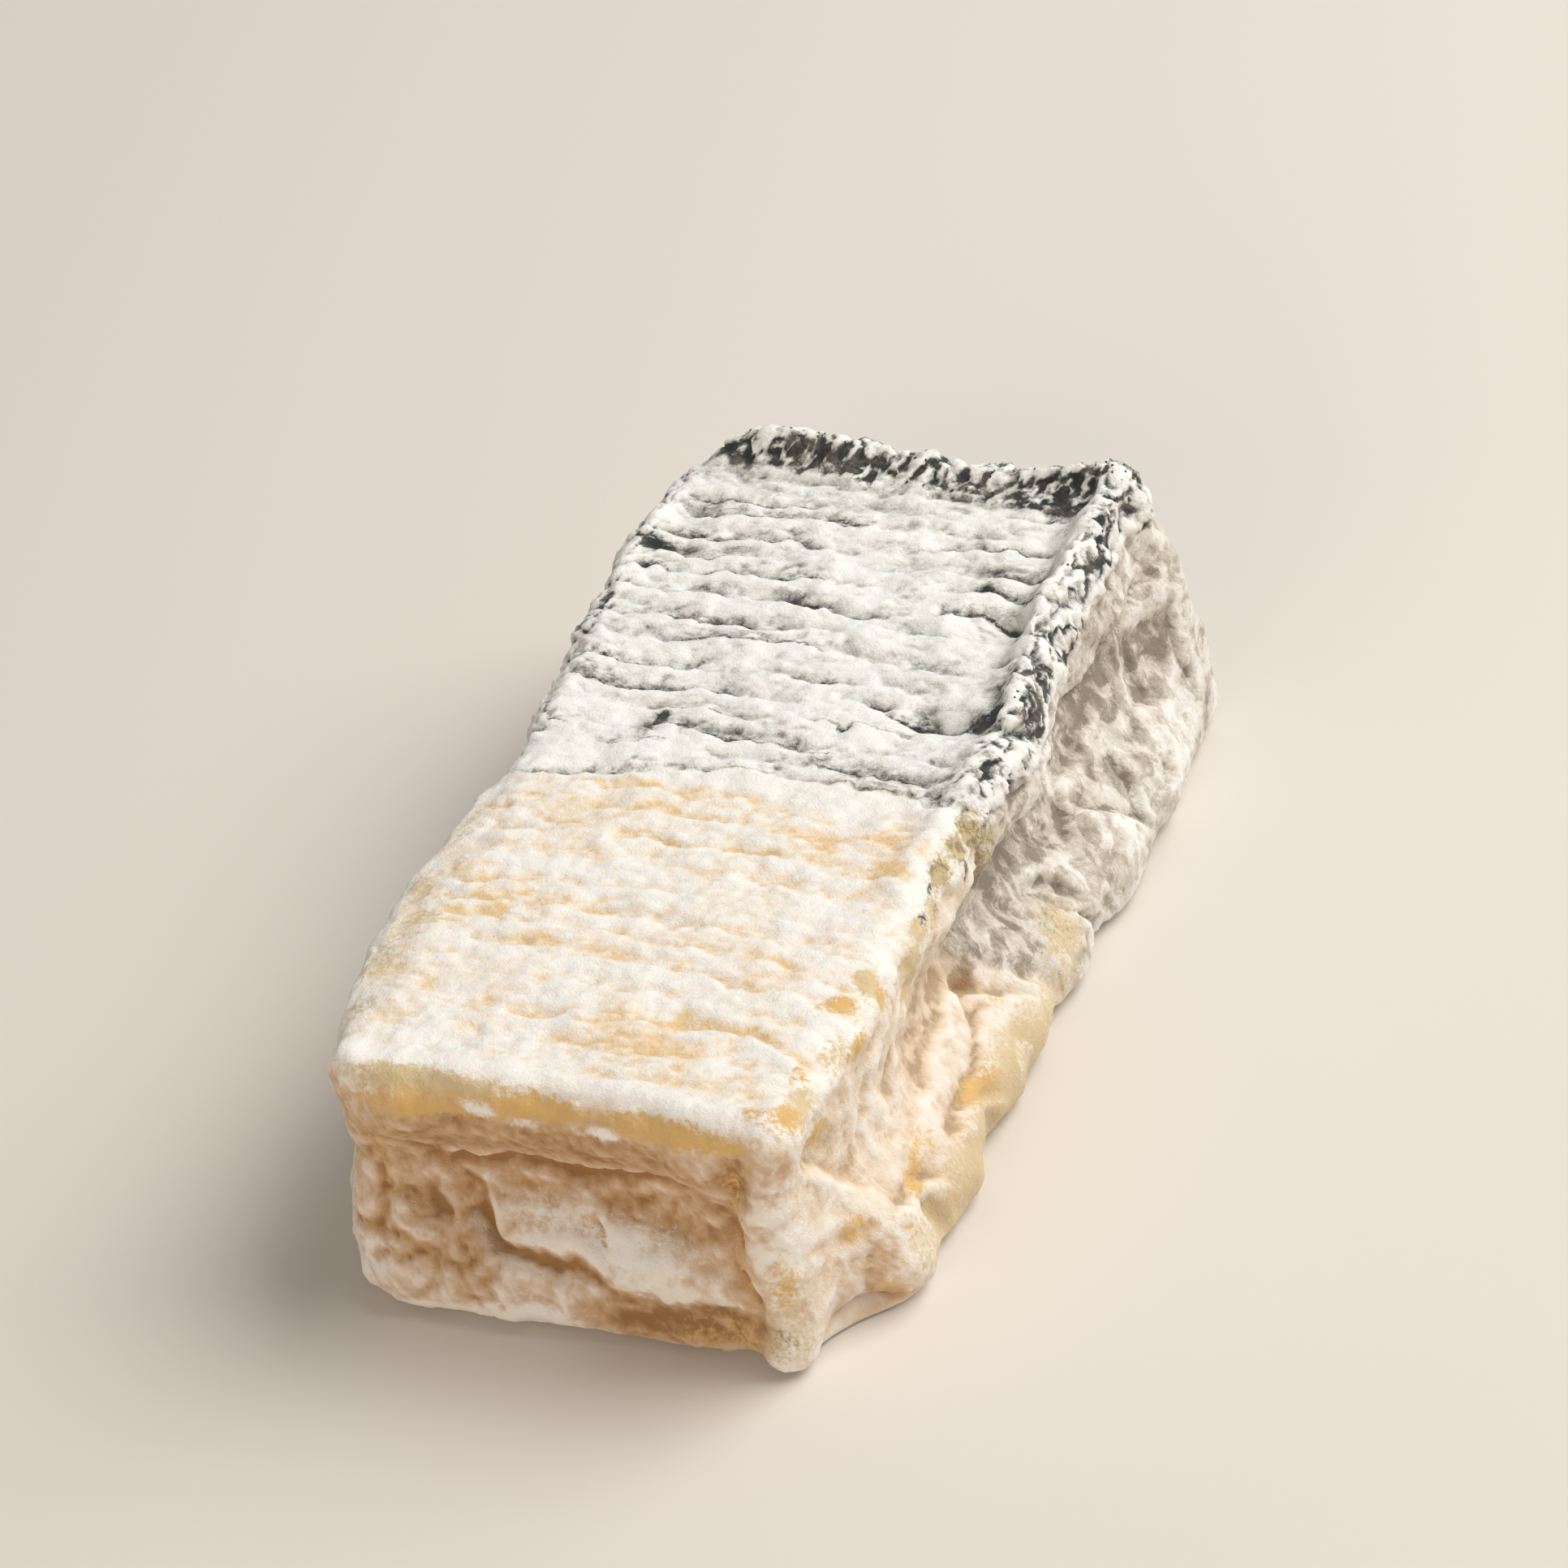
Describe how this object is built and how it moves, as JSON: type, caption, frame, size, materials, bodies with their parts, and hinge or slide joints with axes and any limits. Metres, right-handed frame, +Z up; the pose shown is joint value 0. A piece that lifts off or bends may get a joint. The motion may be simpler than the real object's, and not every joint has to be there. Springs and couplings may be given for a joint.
{
  "type": "goat cheese brick",
  "caption": "Ripened goat cheese brick with a ridged top: one end has a plain cream rind, the other an ash and white bloom rind, over a spread foot.",
  "frame": {"origin": "middle of the underside of the bounding box, on the board that the brick lies on", "axes": "+Y along the length from the plain end to the ash end, +Z up through the ridged top, +X to the right seen from the plain end"},
  "size_m": [0.0966, 0.1606, 0.0486],
  "materials": {
    "rind": "matte, dry cheese rind"
  },
  "bodies": {
    "root": {"cheese_brick": "rind"}
  },
  "joints": []
}
